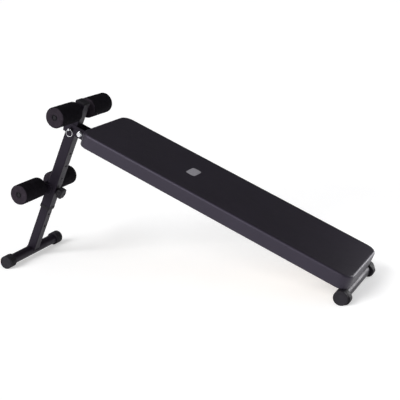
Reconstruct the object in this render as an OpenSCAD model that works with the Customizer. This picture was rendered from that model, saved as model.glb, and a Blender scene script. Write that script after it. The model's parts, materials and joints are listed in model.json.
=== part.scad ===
// Folding sit-up bench: a padded board on a sloping beam, carried by a low rear foot
// and by a taller front leg that has foam rollers, telescopes and folds under the beam.
// Lengths are in millimetres, angles in degrees. +Z is up and +X runs from the front leg
// to the low end. The beam, the leg and the pad are each built in a frame of their own.

/* [Layout] */
// Lean of the front leg from upright
leg_lean = 27; // [20:1:32]
// Distance from the fold pivot down to the front foot, measured along the leg
leg_drop = 552; // [520:1:600]
// Distance of the fold pivot behind the centre line of the leg
pivot_offset = 42; // [41:1:50]
// Distance from the fold pivot to the rear foot, measured along the beam
beam_reach = 1118; // [1050:1:1200]
// Distance of the rear foot tube below the centre line of the beam
rear_foot_drop = 3; // [3:0.5:6]

/* [Frame tubes] */
// Side of the square main beam
beam_side = 41; // [41:1:45]
// Side of the square outer leg tube
leg_side = 40; // [38:1:40]
// Side of the square inner leg tube
inner_side = 35; // [30:1:35]
// Wall thickness of every steel tube
tube_wall = 1.5; // [1.2:0.1:2]
// Height of the top of the outer leg tube above the front foot
leg_top = 655; // [650:1:690]
// Height of the lower end of the outer leg tube above the front foot
leg_bottom = 212; // [205:1:220]
// Height of the top of the inner leg tube above the front foot
inner_top = 368; // [355:1:372]

/* [Feet] */
// Diameter of the round foot tubes
foot_tube_d = 38; // [32:1:42]
// Diameter of the rubber foot caps
foot_cap_d = 50; // [46:1:60]
// Length of a rubber foot cap
foot_cap_length = 36; // [30:1:50]
// Width over the caps of the front foot
front_foot_width = 344; // [300:1:420]
// Width over the caps of the rear foot
rear_foot_width = 318; // [290:1:420]
// Distance that the heel of a rear foot cap reaches behind the axis of the foot tube
heel_reach = 30; // [26:0.5:32]

/* [Pad] */
// Length of the pad along the beam
pad_length = 1059; // [980:1:1075]
// Width of the pad
pad_width = 313; // [260:1:360]
// Thickness of the finished pad, board included
pad_thickness = 50; // [40:1:70]
// Distance of the front edge of the pad behind the fold pivot
pad_front = 66; // [60:1:90]
// Plan radius of the pad corners
pad_corner = 38; // [10:1:60]
// Thickness of the plywood board inside the pad
board_thickness = 12; // [10:1:18]

/* [Foam rollers] */
// Outer diameter of a foam roller
roller_d = 76; // [60:1:77]
// Length of a foam roller
roller_length = 126; // [100:1:150]
// Free space between the two rollers of one axle
roller_gap = 80; // [80:1:90]
// Diameter of the roller axle tubes
axle_d = 22; // [20:1:24]
// Height of the upper rollers above the front foot, measured along the leg
upper_roller_height = 626; // [622:1:632]
// Height of the lower rollers above the front foot, measured along the leg
lower_roller_height = 280; // [270:1:300]
// Distance of the lower rollers in front of the centre line of the leg
lower_roller_offset = 40; // [36:1:50]

/* [Height adjustment] */
// Height of the locking knob above the front foot, measured along the leg
knob_height = 285; // [280:1:290]
// Distance between two adjusting holes
hole_pitch = 55; // [50:1:55]
// Diameter of the adjusting holes
hole_d = 9; // [8:0.5:10]
// Diameter over the lobes of the knob
knob_d = 45; // [36:1:50]

/* [Fold lock] */
// Distance of the pull pin ahead of the fold pivot
lock_pin_offset = 42; // [40:1:44]
// Outer diameter of the pull ring
ring_d = 28; // [24:1:32]
// Wire diameter of the pull ring
ring_wire = 2; // [2:0.5:3]

/* [Hidden] */

$fn = 48;
steel = "#2d2b33";
zinc = "#b9bcc2";
foam = "#26252a";
vinyl = "#201f23";
plastic = "#1b1b1e";
rubber = "#232226";

// Gap between pieces that move past each other
slide_gap = 0.3;
// Radial clearance of a shaft that turns in its bore
running_gap = 0.05;

// The floor is at z = 0 and the foot caps stand on it
foot_r = foot_cap_d / 2;
tube_r = foot_tube_d / 2;
cap_disc = 9;
heel_r = foot_r - 5;
half_leg = leg_side / 2;
half_inner = inner_side / 2;
half_beam = beam_side / 2;
corner_r = 3;

// Pivot seen from the front foot axis, then the slope that brings the rear foot down
pivot_dx = leg_drop * sin(leg_lean) + pivot_offset * cos(leg_lean);
pivot_dz = leg_drop * cos(leg_lean) - pivot_offset * sin(leg_lean);
beam_slope = asin(pivot_dz / norm([beam_reach, rear_foot_drop]))
    - atan(rear_foot_drop / beam_reach);

// Pad heights above the centre line of the beam
cross_plate_t = 3;
pad_base = half_beam + cross_plate_t;
pad_top = pad_base + pad_thickness;
pad_rear = pad_front + pad_length;
cover_t = 1.5;

// The origin is on the floor in the middle of the overall length
rear_extent = pivot_dx + pad_rear * cos(beam_slope) + pad_top * sin(beam_slope);
foot_x = (foot_r - rear_extent) / 2;

// Bracket plates beside the leg, and the fold pivot hardware
plate_t = 3;
plate_y = half_beam;
plate_top = 20;
plate_bottom = -18;
plate_sweep_r = 73;
plate_rear = 104;
bolt_r = 5;
hex_across = 17;
washer_t = 2;
lug_r = 14;
lug_t = 6;
sleeve_r = 8;

// Axles and rollers
axle_r = axle_d / 2;
roller_inner = roller_gap / 2;
roller_outer = roller_inner + roller_length;
axle_recess = 3;
axle_half = roller_outer - axle_recess;

// Sprung pins of the fold lock and the height lock, as distances from the plate or tube
pin_r = 4;
stem_r = 3;
collar_r = 5.6;
collar_t = 1.5;
chamber_r = 6.2;
barrel_r = 8;
pin_wall = 1.5;
lock_pin_y = -(plate_y + plate_t);
lock_seat = -2;
lock_chamber = 10;
lock_head_start = 9.8;
lock_head_length = 6;
ring_hole_at = 12;
knob_chamber = 15;
knob_seat = 4;
knob_head_start = 8;
knob_head_length = 20;
knob_cavity = 13.5;
spare_holes = 3;

// ---------------------------------------------------------------- frames of reference

// Origin at the front foot axis, z up the leg, x to the rear
module in_leg() {
    translate([foot_x, 0, foot_r]) rotate([0, leg_lean, 0]) children();
}

// Origin at the fold pivot, x down the beam to the rear, z square to the pad
module in_beam() {
    translate([foot_x + pivot_dx, 0, foot_r + pivot_dz]) rotate([0, beam_slope, 0]) children();
}

// Origin on the rear foot axis, with the axes of the beam
module at_rear_foot() {
    in_beam() translate([beam_reach, 0, -rear_foot_drop]) children();
}

// Origin on the axis of the pull pin with the world's axes, for what hangs down
module at_lock_pin() {
    in_beam() translate([-lock_pin_offset, 0, 0]) rotate([0, -beam_slope, 0]) children();
}

// Origin on the rear face of the leg at the knob, z out of the face
module at_knob() {
    in_leg() translate([half_leg, 0, knob_height]) rotate([0, 90, 0]) children();
}

// ---------------------------------------------------------------- shared shapes

module rounded_rect(x, y, r) {
    square([x - 2 * r, y], center = true);
    square([x, y - 2 * r], center = true);
    for (sx = [-1, 1], sy = [-1, 1])
        translate([sx * (x / 2 - r), sy * (y / 2 - r)]) circle(r);
}

module square_tube(side, length) {
    linear_extrude(length) difference() {
        rounded_rect(side, side, corner_r);
        rounded_rect(side - 2 * tube_wall, side - 2 * tube_wall, corner_r - tube_wall / 2);
    }
}

module rod_y(r, length) {
    rotate([90, 0, 0]) cylinder(r = r, h = length, center = true);
}

module pipe_y(r, length) {
    difference() {
        rod_y(r, length);
        rod_y(r - tube_wall, length + 2);
    }
}

// Cylinder that points to -Y, from the plane y = start
module rod_out(r, start, length) {
    translate([0, start, 0]) rotate([90, 0, 0]) cylinder(r = r, h = length);
}

module hexagon(across, height) {
    cylinder(d = across / cos(30), h = height, $fn = 6);
}

module hollow(r_out, r_in, start, length) {
    translate([0, 0, start]) difference() {
        cylinder(r = r_out, h = length);
        translate([0, 0, -1]) cylinder(r = r_in, h = length + 2);
    }
}

// Coil spring along z, swept as a tube with six sides
module coil(r, wire_r, length, turns) {
    steps = turns * 12;
    sides = 6;
    rings = [
        for (i = [0 : steps]) [
            for (j = [0 : sides - 1])
                let (a = 30 * i, b = 360 * j / sides, m = r + wire_r * cos(b))
                    [m * cos(a), m * sin(a), wire_r + i * (length - 2 * wire_r) / steps
                        + wire_r * sin(b)]
        ]
    ];
    walls = [
        for (i = [0 : steps - 1], j = [0 : sides - 1])
            let (k = (j + 1) % sides)
                [i * sides + j, (i + 1) * sides + j, (i + 1) * sides + k, i * sides + k]
    ];
    first = [for (j = [0 : sides - 1]) j];
    last = [for (j = [sides - 1 : -1 : 0]) steps * sides + j];
    polyhedron([for (ring = rings, p = ring) p], concat(walls, [first, last]));
}

// Sprung plunger along z: tip in the locking hole, collar under the spring, stem to the grip
module plunger(tip_start, seat, stem_end) {
    translate([0, 0, tip_start]) cylinder(r = pin_r, h = seat - tip_start);
    translate([0, 0, seat]) cylinder(r = collar_r, h = collar_t);
    translate([0, 0, seat + collar_t]) cylinder(r = stem_r, h = stem_end - seat - collar_t);
}

// Housing of a plunger along z, with the spring chamber from seat to seat + chamber
module plunger_barrel(start, seat, chamber) {
    difference() {
        translate([0, 0, start]) cylinder(r = barrel_r, h = seat + chamber + pin_wall - start);
        translate([0, 0, start - 1]) cylinder(r = pin_r + running_gap, h = seat - start + 1);
        translate([0, 0, seat - running_gap]) cylinder(r = chamber_r, h = chamber + running_gap);
        translate([0, 0, seat]) cylinder(r = stem_r + running_gap, h = chamber + pin_wall + 1);
    }
}

// ---------------------------------------------------------------- beam and rear foot

module main_beam() {
    beam_start = 30;
    color(steel) difference() {
        in_beam() translate([beam_start, 0, 0]) rotate([0, 90, 0])
            square_tube(beam_side, beam_reach - beam_start);
        at_rear_foot() rod_y(tube_r, beam_side + 2);
    }
}

module bracket_plate_outline() {
    height = plate_top - plate_bottom;
    intersection() {
        circle(r = plate_sweep_r);
        translate([-plate_sweep_r, plate_bottom]) square([plate_sweep_r, height]);
    }
    translate([-1, plate_bottom]) square([plate_rear + 1, height]);
}

module pivot_bracket() {
    web_low = lug_r + 1.5;
    web_high = plate_top - 1;
    color(steel) {
        in_beam() for (side = [-1, 1]) difference() {
            translate([0, side * (plate_y + plate_t / 2), 0]) rotate([90, 0, 0])
                linear_extrude(plate_t, center = true) bracket_plate_outline();
            rod_y(bolt_r + running_gap, 3 * plate_y);
            translate([-lock_pin_offset, 0, 0])
                rod_out(barrel_r, 0, 2 * plate_y);
        }
        // Stop bar that the rear face of the open leg rests on
        in_leg() translate([half_leg + slide_gap, -plate_y - 1, leg_drop + web_low])
            cube([plate_t, 2 * plate_y + 2, web_high - web_low]);
    }
}

module rear_foot_tube() {
    color(steel) at_rear_foot() pipe_y(tube_r, rear_foot_width - 8);
}

// Cup over the end of a foot tube; its flat end faces -Y at y = -width / 2. The children are
// the inner part of its wall, which ends at the disc.
module foot_cap(width) {
    end_wall = 4;
    rim = 1.5;
    start = -width / 2 + foot_cap_length;
    color(rubber) difference() {
        union() {
            translate([0, start, 0]) children();
            rod_out(foot_r, start - foot_cap_length + cap_disc, cap_disc - rim);
            translate([0, -width / 2 + rim, 0]) rotate([90, 0, 0])
                cylinder(r1 = foot_r, r2 = foot_r - rim, h = rim);
        }
        rod_out(tube_r, start + 1, foot_cap_length - end_wall + 1);
    }
}

module ribbed_wall() {
    rib_pitch = 7;
    rib = 3.5;
    rod_out(foot_r - 2, 0, foot_cap_length - cap_disc);
    for (i = [0 : 3]) rod_out(foot_r, -i * rib_pitch, rib);
}

// Wall with a heel that lies flat on the floor behind the tube, so the foot doesn't roll
module heeled_wall() {
    rotate([90, 0, 0]) linear_extrude(foot_cap_length - cap_disc) hull() {
        circle(r = foot_r - 0.5);
        translate([heel_reach - heel_r, heel_r - foot_r]) circle(r = heel_r);
    }
}

// Origin on the rear foot axis with the world's axes
module at_rear_cap() {
    at_rear_foot() rotate([0, -beam_slope, 0]) children();
}

module rear_foot_cap_left() {
    at_rear_cap() mirror([0, 1, 0]) foot_cap(rear_foot_width) heeled_wall();
}

module rear_foot_cap_right() {
    at_rear_cap() foot_cap(rear_foot_width) heeled_wall();
}

// ---------------------------------------------------------------- fold pivot

module pivot_bolt() {
    head = 6.4;
    shank = 2 * (plate_y + plate_t + washer_t) + 14;
    head_y = plate_y + plate_t + washer_t;
    color(zinc) in_beam() {
        translate([0, -head_y, 0]) rotate([90, 0, 0]) hexagon(hex_across, head);
        rod_out(bolt_r, shank - head_y, shank);
    }
}

module pivot_nut() {
    nut = 9.5;
    color(zinc) in_beam() translate([0, plate_y + plate_t + washer_t, 0])
        rotate([-90, 0, 0]) difference() {
            union() {
                hexagon(hex_across, nut - 2);
                cylinder(r = hex_across / 2 - 1, h = nut);
            }
            translate([0, 0, -1]) cylinder(r = bolt_r, h = nut + 2);
        }
}

module pivot_washers() {
    color(zinc) in_beam() for (side = [-1, 1])
        translate([0, side * (plate_y + plate_t + washer_t / 2), 0]) difference() {
            rod_y(10, washer_t);
            rod_y(bolt_r + running_gap, washer_t + 2);
        }
}

module pivot_lug() {
    base_t = 3.5;
    color(steel) in_leg() translate([0, 0, leg_drop]) difference() {
        union() {
            for (side = [-1, 1])
                translate([0, side * (half_leg - lug_t / 2), 0]) rotate([90, 0, 0])
                    linear_extrude(lug_t, center = true) {
                        translate([half_leg, -lug_r])
                            square([pivot_offset - half_leg, 2 * lug_r]);
                        translate([pivot_offset, 0]) circle(r = lug_r);
                    }
            translate([half_leg, -half_leg + 1, -lug_r]) cube([base_t, leg_side - 2, 2 * lug_r]);
        }
        translate([pivot_offset, 0, 0]) rod_y(sleeve_r, leg_side + 2);
    }
}

module pivot_sleeve() {
    color(steel) in_leg() translate([pivot_offset, 0, leg_drop]) difference() {
        rod_y(sleeve_r, leg_side);
        rod_y(bolt_r + running_gap, leg_side + 2);
    }
}

// ---------------------------------------------------------------- fold lock

module lock_pin_barrel() {
    collar = 3;
    color(steel) at_lock_pin() translate([0, lock_pin_y, 0]) rotate([90, 0, 0]) {
        plunger_barrel(-plate_t, lock_seat, lock_chamber);
        hollow(barrel_r + 2.5, barrel_r - 1, 0, collar);
    }
}

module lock_pin() {
    flat = 3;
    head_r = 4;
    tip = -(plate_t + plate_y - half_leg - slide_gap);
    color(zinc) at_lock_pin() translate([0, lock_pin_y, 0]) rotate([90, 0, 0])
        difference() {
            union() {
                plunger(tip, lock_seat, lock_head_start);
                intersection() {
                    translate([0, 0, lock_head_start])
                        cylinder(r = head_r, h = lock_head_length);
                    translate([-flat, -head_r, lock_head_start])
                        cube([2 * flat, 2 * head_r, lock_head_length]);
                }
            }
            translate([0, 0, ring_hole_at]) rotate([0, 90, 0])
                cylinder(r = ring_wire / 2 + 0.75, h = 4 * flat, center = true);
        }
}

module lock_pin_spring() {
    color(zinc) at_lock_pin() translate([0, lock_pin_y, 0]) rotate([90, 0, 0])
        translate([0, 0, lock_seat + collar_t]) coil(4.6, 0.35, lock_chamber - collar_t, 3);
}

module lock_pin_ring() {
    r = (ring_d - ring_wire) / 2;
    color(zinc) at_lock_pin() translate([0, lock_pin_y - ring_hole_at, -r])
        rotate([90, 0, 0]) rotate_extrude() translate([r, 0]) circle(d = ring_wire, $fn = 24);
}

// ---------------------------------------------------------------- pad

// Places of the three cross plates along the beam
plate_places = [pad_front + 130, pad_front + pad_length / 2, pad_rear - 130];
screw_y = 62;
flange_t = 1.2;

module at_pad_screws() {
    in_beam() for (x = plate_places, side = [-1, 1]) translate([x, side * screw_y, 0]) children();
}

module pad_cross_plates() {
    plate_length = 160;
    plate_width = 40;
    color(steel) in_beam() for (x = plate_places)
        translate([x, 0, half_beam]) linear_extrude(cross_plate_t) difference() {
            rounded_rect(plate_width, plate_length, 6);
            for (side = [-1, 1]) translate([0, side * screw_y]) circle(r = 3.5);
        }
}

module pad_screws() {
    head = 4;
    color(zinc) at_pad_screws() {
        translate([0, 0, half_beam - head]) hexagon(10, head);
        translate([0, 0, half_beam]) cylinder(r = 3, h = cross_plate_t + board_thickness - 1);
    }
}

module pad_tee_nuts() {
    color(zinc) at_pad_screws() translate([0, 0, pad_base]) difference() {
        union() {
            translate([0, 0, board_thickness - flange_t]) cylinder(r = 9, h = flange_t);
            translate([0, 0, 2]) cylinder(r = 4.2, h = board_thickness - 2);
        }
        cylinder(r = 3, h = board_thickness + 1);
    }
}

// Plan shape of the pad taken in by a margin
module pad_plan(margin) {
    translate([(pad_front + pad_rear) / 2, 0])
        rounded_rect(pad_length - 2 * margin, pad_width - 2 * margin, pad_corner - margin);
}

module pad_board() {
    color("#c8a878") difference() {
        in_beam() translate([0, 0, pad_base]) linear_extrude(board_thickness) pad_plan(cover_t);
        at_pad_screws() translate([0, 0, pad_base]) {
            translate([0, 0, -1]) cylinder(r = 4.2, h = board_thickness + 2);
            translate([0, 0, board_thickness - flange_t]) cylinder(r = 9, h = flange_t + 1);
        }
    }
}

module pad_foam() {
    color("#d8d2b8") in_beam() translate([0, 0, pad_base + board_thickness])
        linear_extrude(pad_thickness - board_thickness - cover_t) pad_plan(cover_t);
}

module pad_cover() {
    color(vinyl) in_beam() difference() {
        translate([0, 0, pad_base]) linear_extrude(pad_thickness) pad_plan(0);
        translate([0, 0, pad_base - 1]) linear_extrude(pad_thickness - cover_t + 1)
            pad_plan(cover_t);
    }
}

// ---------------------------------------------------------------- front leg, upper part

module leg_outer_tube() {
    color(steel) difference() {
        in_leg() translate([0, 0, leg_bottom]) square_tube(leg_side, leg_top - leg_bottom);
        in_leg() translate([0, 0, upper_roller_height]) rod_y(axle_r, leg_side + 2);
        in_leg() for (i = [1 : spare_holes]) translate([0, 0, knob_height + i * hole_pitch])
            rotate([0, 90, 0]) cylinder(d = hole_d, h = leg_side);
        in_leg() translate([0, 0, knob_height]) rotate([0, 90, 0])
            cylinder(r = pin_r + slide_gap, h = leg_side);
        at_lock_pin() rod_out(pin_r + slide_gap, 0, leg_side);
    }
}

module leg_top_cap() {
    lip = 4;
    dome = 4;
    plug = 11;
    color(plastic) in_leg() translate([0, 0, leg_top]) {
        linear_extrude(lip) rounded_rect(leg_side + 1, leg_side + 1, 4);
        hull() {
            translate([0, 0, lip]) linear_extrude(0.5)
                rounded_rect(leg_side + 1, leg_side + 1, 4, $fn = 24);
            translate([0, 0, lip + dome - 0.5]) linear_extrude(0.5)
                rounded_rect(leg_side - 6, leg_side - 6, 3, $fn = 24);
        }
        translate([0, 0, -plug]) linear_extrude(plug)
            rounded_rect(leg_side - 2 * tube_wall - 0.2, leg_side - 2 * tube_wall - 0.2, 2);
    }
}

module leg_sleeve() {
    lip = 12;
    insert = 50;
    bore = inner_side + 2 * slide_gap;
    color(plastic) in_leg() translate([0, 0, leg_bottom]) difference() {
        union() {
            translate([0, 0, -lip]) linear_extrude(lip)
                rounded_rect(leg_side + 2, leg_side + 2, 4);
            linear_extrude(insert)
                rounded_rect(leg_side - 2 * tube_wall, leg_side - 2 * tube_wall,
                    corner_r - tube_wall / 2);
        }
        translate([0, 0, -lip - 1]) linear_extrude(lip + insert + 2)
            rounded_rect(bore, bore, corner_r);
    }
}

module axle(height, offset) {
    color(steel) in_leg() translate([offset, 0, height]) pipe_y(axle_r, 2 * axle_half);
}

module axle_plugs(height, offset) {
    insert = 12;
    face = 2;
    color(plastic) in_leg() translate([offset, 0, height]) for (side = [0, 1])
        mirror([0, side, 0]) {
            rod_out(axle_r - tube_wall, insert - axle_half, insert);
            rod_out(axle_r - 0.5, -axle_half, face);
        }
}

module upper_axle() {
    axle(upper_roller_height, 0);
}

module upper_axle_plugs() {
    axle_plugs(upper_roller_height, 0);
}

module lower_axle() {
    axle(lower_roller_height, -lower_roller_offset);
}

module lower_axle_plugs() {
    axle_plugs(lower_roller_height, -lower_roller_offset);
}

// Two rounded tabs, welded to the sides of the leg, that hold the lower axle in front of it
module lower_axle_bracket() {
    tab_t = 3;
    nose_r = 15;
    root_r = 12;
    color(steel) in_leg() difference() {
        for (side = [-1, 1])
            translate([0, side * (half_leg + tab_t / 2), 0]) rotate([90, 0, 0])
                linear_extrude(tab_t, center = true) hull() {
                    translate([-lower_roller_offset, lower_roller_height]) circle(r = nose_r);
                    for (rise = [-6, 10])
                        translate([-8, lower_roller_height + rise]) circle(r = root_r);
                }
        translate([-lower_roller_offset, 0, lower_roller_height]) rod_y(axle_r, 3 * leg_side);
    }
}

// ---------------------------------------------------------------- height lock

module knob_boss() {
    color(steel) at_knob() hollow(11.5, barrel_r + running_gap, 0, 7);
}

module knob_barrel() {
    color(zinc) at_knob() plunger_barrel(slide_gap, knob_seat, knob_chamber);
}

module knob_spring() {
    color(zinc) at_knob() translate([0, 0, knob_seat + collar_t])
        coil(4.6, 0.4, knob_chamber - collar_t, 5);
}

module knob_pin() {
    tip = half_inner + slide_gap - half_leg;
    stem_end = knob_head_start + knob_head_length - 4;
    color(zinc) at_knob() plunger(tip, knob_seat, stem_end);
}

module knob_head() {
    lobes = 7;
    lobe_r = 5.5;
    core_r = knob_d / 2 - 3;
    chamfer = 3;
    color(plastic) at_knob() translate([0, 0, knob_head_start]) difference() {
        union() {
            linear_extrude(knob_head_length - chamfer) {
                circle(r = core_r);
                for (i = [0 : lobes - 1]) rotate(i * 360 / lobes)
                    translate([knob_d / 2 - lobe_r, 0]) circle(r = lobe_r);
            }
            translate([0, 0, knob_head_length - chamfer])
                cylinder(r1 = core_r, r2 = core_r - chamfer, h = chamfer, $fn = 64);
        }
        translate([0, 0, -1]) cylinder(r = barrel_r + 0.7, h = knob_cavity + 1);
        translate([0, 0, -1]) cylinder(r = stem_r, h = knob_head_length - 3);
    }
}

// ---------------------------------------------------------------- front leg, lower part

module leg_inner_tube() {
    color(steel) difference() {
        in_leg() square_tube(inner_side, inner_top);
        in_leg() rod_y(tube_r, inner_side + 2);
        in_leg() for (i = [0 : spare_holes])
            translate([0, 0, knob_height - i * hole_pitch]) rotate([0, 90, 0])
                cylinder(d = hole_d, h = inner_side);
    }
}

module inner_tube_guide() {
    side = leg_side - 2 * tube_wall - 2 * slide_gap;
    head = 6;
    plug = 14;
    color(plastic) in_leg() translate([0, 0, inner_top]) {
        linear_extrude(head) rounded_rect(side, side, 3);
        translate([0, 0, -plug]) linear_extrude(plug)
            rounded_rect(inner_side - 2 * tube_wall, inner_side - 2 * tube_wall,
                corner_r - tube_wall / 2);
    }
}

module front_foot_tube() {
    color(steel) in_leg() pipe_y(tube_r, front_foot_width - 8);
}

module front_foot_cap_left() {
    in_leg() mirror([0, 1, 0]) foot_cap(front_foot_width) ribbed_wall();
}

module front_foot_cap_right() {
    in_leg() foot_cap(front_foot_width) ribbed_wall();
}

// ---------------------------------------------------------------- foam rollers

// One roller on its axle; side is -1 on the right of the bench and 1 on the left
module roller(height, offset, side) {
    edge = 5;
    r = roller_d / 2;
    color(foam) in_leg() translate([offset, side * (roller_inner + roller_length / 2), height])
        rotate([90, 0, 0]) rotate_extrude() difference() {
            union() {
                translate([0, edge - roller_length / 2]) square([r, roller_length - 2 * edge]);
                translate([0, -roller_length / 2]) square([r - edge, roller_length]);
                for (end = [-1, 1])
                    translate([r - edge, end * (roller_length / 2 - edge)]) circle(r = edge);
            }
            translate([-1, -roller_length])
                square([axle_r + running_gap + 1, 2 * roller_length]);
        }
}

module roller_upper_left() {
    roller(upper_roller_height, 0, 1);
}

module roller_upper_right() {
    roller(upper_roller_height, 0, -1);
}

module roller_lower_left() {
    roller(lower_roller_height, -lower_roller_offset, 1);
}

module roller_lower_right() {
    roller(lower_roller_height, -lower_roller_offset, -1);
}

main_beam();
pivot_bracket();
pivot_bolt();
pivot_nut();
pivot_washers();
lock_pin_barrel();
lock_pin_spring();
lock_pin();
lock_pin_ring();
rear_foot_tube();
rear_foot_cap_left();
rear_foot_cap_right();
pad_cross_plates();
pad_screws();
pad_tee_nuts();
pad_board();
pad_foam();
pad_cover();
leg_outer_tube();
leg_top_cap();
leg_sleeve();
pivot_lug();
pivot_sleeve();
upper_axle();
upper_axle_plugs();
lower_axle();
lower_axle_plugs();
lower_axle_bracket();
knob_boss();
knob_barrel();
knob_spring();
knob_pin();
knob_head();
leg_inner_tube();
inner_tube_guide();
front_foot_tube();
front_foot_cap_left();
front_foot_cap_right();
roller_upper_left();
roller_upper_right();
roller_lower_left();
roller_lower_right();
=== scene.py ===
"""Looks of the folding sit-up bench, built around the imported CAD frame. Lengths are in metres."""

import json
import math

import bmesh
import bpy
from mathutils import Matrix, Vector, noise


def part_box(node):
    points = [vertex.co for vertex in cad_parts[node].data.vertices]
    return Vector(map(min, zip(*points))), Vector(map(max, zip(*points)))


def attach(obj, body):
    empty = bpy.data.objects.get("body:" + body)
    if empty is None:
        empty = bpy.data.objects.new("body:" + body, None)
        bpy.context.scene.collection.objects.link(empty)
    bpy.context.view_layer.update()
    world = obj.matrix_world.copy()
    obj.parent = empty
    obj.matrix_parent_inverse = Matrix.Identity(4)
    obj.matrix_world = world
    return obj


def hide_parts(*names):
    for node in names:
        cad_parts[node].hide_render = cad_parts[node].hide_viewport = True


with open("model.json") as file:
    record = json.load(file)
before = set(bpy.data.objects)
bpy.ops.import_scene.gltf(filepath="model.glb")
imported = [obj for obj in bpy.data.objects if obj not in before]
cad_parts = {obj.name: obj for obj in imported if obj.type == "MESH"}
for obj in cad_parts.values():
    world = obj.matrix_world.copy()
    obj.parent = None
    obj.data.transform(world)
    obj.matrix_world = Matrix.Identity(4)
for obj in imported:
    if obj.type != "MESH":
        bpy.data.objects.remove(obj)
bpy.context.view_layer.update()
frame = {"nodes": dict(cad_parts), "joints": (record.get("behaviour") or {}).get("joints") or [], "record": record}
JOINTS = {j["name"]: j for j in frame["joints"]}
MOUNTS = {m["name"]: m for m in frame["record"]["mounts"]}
MM = 0.001
ACROSS = Vector((0, 1, 0))


# ---------------------------------------------------------------- frames of reference

def local_frame(origin, x_axis, z_axis):
    """Matrix of a frame whose x and z axes are given and whose y axis follows from them."""
    x, z = Vector(x_axis).normalized(), Vector(z_axis).normalized()
    matrix = Matrix((x, z.cross(x), z)).transposed().to_4x4()
    matrix.translation = origin
    return matrix


def centre(node):
    low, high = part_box(node)
    return (low + high) / 2


def centre_in(node, matrix):
    low, high = span(node, matrix)
    return (low + high) / 2


def span(node, matrix):
    """Lowest and highest corner of a CAD node in a local frame."""
    inverse = matrix.inverted()
    points = [inverse @ v.co for v in frame["nodes"][node].data.vertices]
    low = Vector([min(p[i] for p in points) for i in range(3)])
    high = Vector([max(p[i] for p in points) for i in range(3)])
    return low, high


PAD_UP = Vector(MOUNTS["pad_top"]["axis"])
LEG_UP = Vector(JOINTS["height_adjust"]["axis"])
LEG_REAR = Vector(JOINTS["knob_pull"]["axis"])
PIVOT = Vector(JOINTS["leg_fold"]["pos_m"])

# z up the leg from the front foot axis, x to the rear
LEG = local_frame(centre("front_foot_tube"), LEG_REAR, LEG_UP)
# x down the beam from the fold pivot, z square to the pad
BEAM = local_frame(PIVOT, ACROSS.cross(PAD_UP), PAD_UP)
# z out of the rear face of the leg, along the knob
KNOB = local_frame(Vector(JOINTS["knob_turn"]["pos_m"]), LEG_UP, LEG_REAR)


def sideways(matrix, point, side):
    """Frame at a point of a local frame, with its z axis along +Y (side 1) or -Y (side -1)."""
    x_axis = matrix.to_3x3() @ Vector((1, 0, 0))
    return local_frame(matrix @ Vector(point), x_axis, ACROSS * side)


# ---------------------------------------------------------------- camera, floor and light

def make_camera():
    data = bpy.data.cameras.new("camera")
    data.sensor_width = 36.0
    data.lens = 82.06
    data.clip_end = 200.0
    camera = bpy.data.objects.new("camera", data)
    bpy.context.scene.collection.objects.link(camera)
    yaw, pitch, roll = (math.radians(a) for a in (-26.585, 14.988, 3.507))
    forward = Vector((math.sin(yaw) * math.cos(pitch), math.cos(yaw) * math.cos(pitch),
                      -math.sin(pitch)))
    right = Vector((math.cos(yaw), -math.sin(yaw), 0))
    down = forward.cross(right)
    side = right * math.cos(roll) + down * math.sin(roll)
    camera.matrix_world = local_frame((1.4734, -2.7631, 1.0988), side, -forward)
    bpy.context.scene.camera = camera


def make_floor():
    """Matte white table that glows faintly, which keeps the shadows on it light."""
    bpy.ops.mesh.primitive_plane_add(size=160)
    floor = bpy.context.object
    floor.name = "floor"
    recipe = Recipe("studio_floor", roughness=0.9, specular=0.1)
    tone = recipe.noise(3.0)
    recipe.colour(recipe.ramp(tone, [(0.3, (0.70, 0.70, 0.705)), (0.7, (0.72, 0.72, 0.72))]))
    recipe.shader.inputs["Emission Color"].default_value = (1, 1, 1, 1)
    recipe.shader.inputs["Emission Strength"].default_value = 0.45
    floor.data.materials.append(recipe.material)


def add_lamp(name, kind, towards, strength):
    data = bpy.data.lights.new(name, kind)
    data.energy = strength
    lamp = bpy.data.objects.new(name, data)
    lamp.rotation_euler = Vector(towards).to_track_quat("-Z", "Y").to_euler()
    bpy.context.scene.collection.objects.link(lamp)
    return lamp


def add_sun(name, towards, strength, degrees):
    add_lamp(name, "SUN", towards, strength).data.angle = math.radians(degrees)


def add_gleam():
    """Small lamp behind the low end, for the highlight along the rear foot tube."""
    distance = 0.85
    towards = Vector((-0.50, -0.86, -0.20)).normalized()
    lamp = add_lamp("gleam", "AREA", towards, 4.0)
    lamp.data.size = 0.3
    lamp.location = centre("rear_foot_tube") - towards * distance
    lamp.visible_camera = False


def make_light():
    """Wide soft lights from the viewer's side and from the low end, in a dim surround."""
    world = bpy.data.worlds.new("studio")
    bpy.context.scene.world = world
    world.use_nodes = True
    nodes, links = world.node_tree.nodes, world.node_tree.links
    nodes.clear()
    seen = nodes.new("ShaderNodeBackground")
    seen.inputs["Color"].default_value = (1, 1, 1, 1)
    surround = nodes.new("ShaderNodeBackground")
    surround.inputs["Color"].default_value = (0.97, 0.97, 1.0, 1)
    surround.inputs["Strength"].default_value = 0.09
    path = nodes.new("ShaderNodeLightPath")
    mix = nodes.new("ShaderNodeMixShader")
    output = nodes.new("ShaderNodeOutputWorld")
    links.new(path.outputs["Is Camera Ray"], mix.inputs[0])
    links.new(surround.outputs[0], mix.inputs[1])
    links.new(seen.outputs[0], mix.inputs[2])
    links.new(mix.outputs[0], output.inputs["Surface"])
    add_sun("key", (0.50, 0.95, -0.62), 3.2, 45)
    add_sun("low_end", (-0.80, 0.30, -0.50), 0.35, 60)
    add_sun("top", (0.15, 0.10, -1.0), 0.5, 90)
    add_gleam()
    bpy.context.scene.view_settings.view_transform = "Standard"


# ---------------------------------------------------------------- materials

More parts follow.
